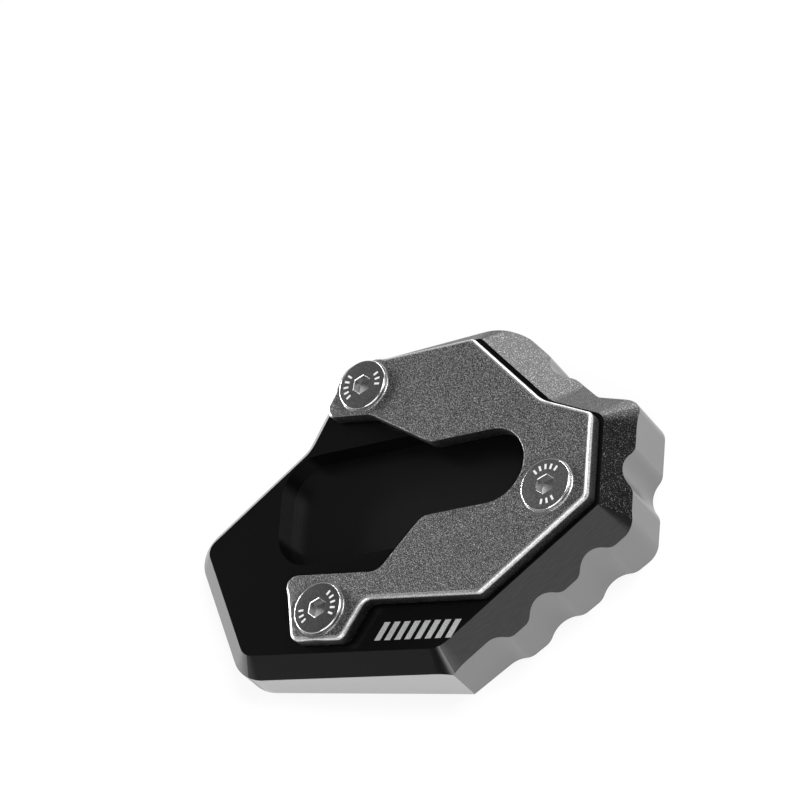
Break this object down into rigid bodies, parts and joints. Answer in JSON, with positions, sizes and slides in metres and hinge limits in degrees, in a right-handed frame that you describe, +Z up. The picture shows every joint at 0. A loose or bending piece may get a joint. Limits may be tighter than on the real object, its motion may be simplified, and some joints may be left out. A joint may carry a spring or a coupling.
{
  "type": "kickstand foot enlarger",
  "caption": "Wedge-shaped foot pad for a motorbike side stand, with a scalloped outer wall, a pocket for the stand's foot and a slotted clamp plate held down by countersunk screws.",
  "frame": {"origin": "middle of the bounding box, on the sole", "axes": "+X towards the scalloped outer end, along the straight front wall; +Y towards the rear; +Z up from the sole that stands on the ground"},
  "size_m": [0.1098, 0.0818, 0.023],
  "materials": {
    "anodised_aluminium": "black anodised deck and chamfers over machined bright side walls",
    "blasted_aluminium": "bead blasted, clear anodised",
    "stainless_screw": "turned stainless steel"
  },
  "bodies": {
    "root": {"base_block": "anodised_aluminium", "clamp_plate": "blasted_aluminium", "screw_rear": "stainless_screw", "screw_outer": "stainless_screw", "screw_front": "stainless_screw"}
  },
  "joints": []
}
